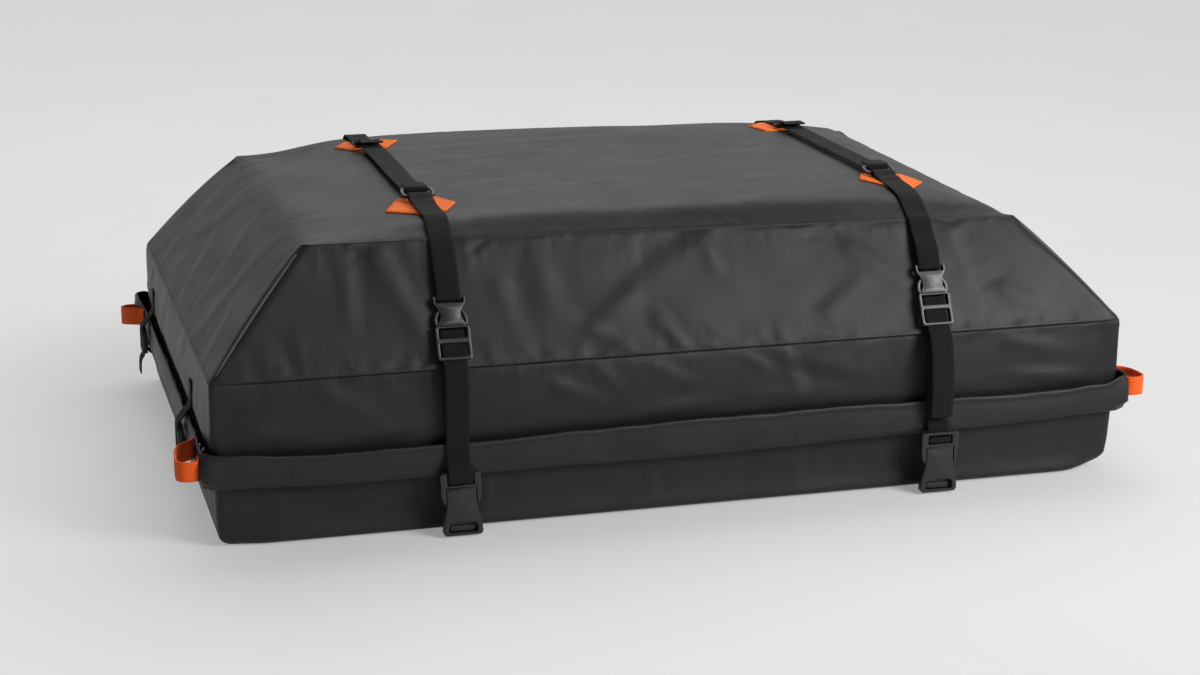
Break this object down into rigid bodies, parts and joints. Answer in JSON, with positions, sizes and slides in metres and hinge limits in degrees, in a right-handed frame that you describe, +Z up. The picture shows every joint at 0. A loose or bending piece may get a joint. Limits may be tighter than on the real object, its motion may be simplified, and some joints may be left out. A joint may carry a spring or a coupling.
{
  "type": "roof cargo bag",
  "caption": "Soft-sided cargo bag for a car roof: shallow tray, hipped fabric cover, zipper under a rain flap, webbing straps with side-release buckles and corner loops.",
  "frame": {"origin": "middle of the flat underside, on the surface the bag stands on", "axes": "+X along the bag, from the end with the zip sliders to the other end; the front, which shows in the picture, faces -Y; +Z up"},
  "size_m": [1.3586, 0.8898, 0.4147],
  "materials": {
    "tarpaulin": "coated cloth with a satin face",
    "black_webbing": "ribbed woven webbing",
    "orange_fabric": "woven, slightly faded",
    "black_plastic": "moulded, half gloss",
    "zipper_coil": "coil on woven tape",
    "zinc": "plated casting"
  },
  "bodies": {
    "bag": {"base_tray": "tarpaulin", "cover": "tarpaulin", "zip_flap": "tarpaulin", "hinge_strip": "tarpaulin", "zipper_chain": "zipper_coil", "top_strap_left": "black_webbing", "top_strap_right": "black_webbing", "patch_front_left": "orange_fabric", "patch_front_right": "orange_fabric", "patch_back_left": "orange_fabric", "patch_back_right": "orange_fabric", "strap_ring_front_left": "black_plastic", "strap_ring_front_right": "black_plastic", "strap_ring_back_left": "black_plastic", "strap_ring_back_right": "black_plastic", "side_strap_front_left": "black_webbing", "side_strap_front_right": "black_webbing", "side_strap_back_left": "black_webbing", "side_strap_back_right": "black_webbing", "mid_socket_front_left": "black_plastic", "mid_socket_front_right": "black_plastic", "mid_socket_back_left": "black_plastic", "mid_socket_back_right": "black_plastic", "mid_plug_front_left": "black_plastic", "mid_plug_front_right": "black_plastic", "mid_plug_back_left": "black_plastic", "mid_plug_back_right": "black_plastic", "lower_strap_front_left": "black_webbing", "lower_strap_front_right": "black_webbing", "lower_strap_back_left": "black_webbing", "lower_strap_back_right": "black_webbing", "end_strap_left_front": "black_webbing", "end_strap_left_back": "black_webbing", "end_strap_right_front": "black_webbing", "end_strap_right_back": "black_webbing", "end_tail_left_front": "black_webbing", "end_tail_left_back": "black_webbing", "end_tail_right_front": "black_webbing", "end_tail_right_back": "black_webbing", "end_buckle_left_front": "black_plastic", "end_buckle_left_back": "black_plastic", "end_buckle_right_front": "black_plastic", "end_buckle_right_back": "black_plastic", "corner_loop_left_front": "orange_fabric", "corner_loop_left_back": "orange_fabric", "corner_loop_right_front": "orange_fabric", "corner_loop_right_back": "orange_fabric"},
    "tie_buckle_front_left": {"tie_plug_front_left": "black_plastic", "tie_socket_front_left": "black_plastic"},
    "tie_buckle_front_right": {"tie_plug_front_right": "black_plastic", "tie_socket_front_right": "black_plastic"},
    "tie_buckle_back_left": {"tie_plug_back_left": "black_plastic", "tie_socket_back_left": "black_plastic"},
    "tie_buckle_back_right": {"tie_plug_back_right": "black_plastic", "tie_socket_back_right": "black_plastic"},
    "slider_first": {"zip_slider_first": "zinc"},
    "pull_first": {"zip_pull_first": "zinc"},
    "slider_second": {"zip_slider_second": "zinc"},
    "pull_second": {"zip_pull_second": "zinc"}
  },
  "joints": [
    {"name": "tie_swing_front_left", "type": "hinge", "parent": "bag", "child": "tie_buckle_front_left", "pos_m": [-0.318, -0.4375, 0.0755], "axis": [-1, 0, 0], "range_deg": [-9, 80]},
    {"name": "tie_swing_front_right", "type": "hinge", "parent": "bag", "child": "tie_buckle_front_right", "pos_m": [0.354, -0.4375, 0.0755], "axis": [-1, 0, 0], "range_deg": [-9, 80]},
    {"name": "tie_swing_back_left", "type": "hinge", "parent": "bag", "child": "tie_buckle_back_left", "pos_m": [-0.318, 0.4375, 0.0755], "axis": [1, 0, 0], "range_deg": [-9, 80]},
    {"name": "tie_swing_back_right", "type": "hinge", "parent": "bag", "child": "tie_buckle_back_right", "pos_m": [0.354, 0.4375, 0.0755], "axis": [1, 0, 0], "range_deg": [-9, 80]},
    {"name": "zip_slide_first", "type": "slide", "parent": "bag", "child": "slider_first", "axis": [0, 1, 0], "range_m": [-0.022, 0]},
    {"name": "zip_slide_second", "type": "slide", "parent": "bag", "child": "slider_second", "axis": [0, 1, 0], "range_m": [0, 0.69]},
    {"name": "pull_turn_first", "type": "hinge", "parent": "slider_first", "child": "pull_first", "pos_m": [-0.6391, -0.352, 0.10685], "axis": [0, 1, 0], "range_deg": [0, 15]},
    {"name": "pull_turn_second", "type": "hinge", "parent": "slider_second", "child": "pull_second", "pos_m": [-0.6391, -0.322, 0.10685], "axis": [0, 1, 0], "range_deg": [0, 15]}
  ]
}
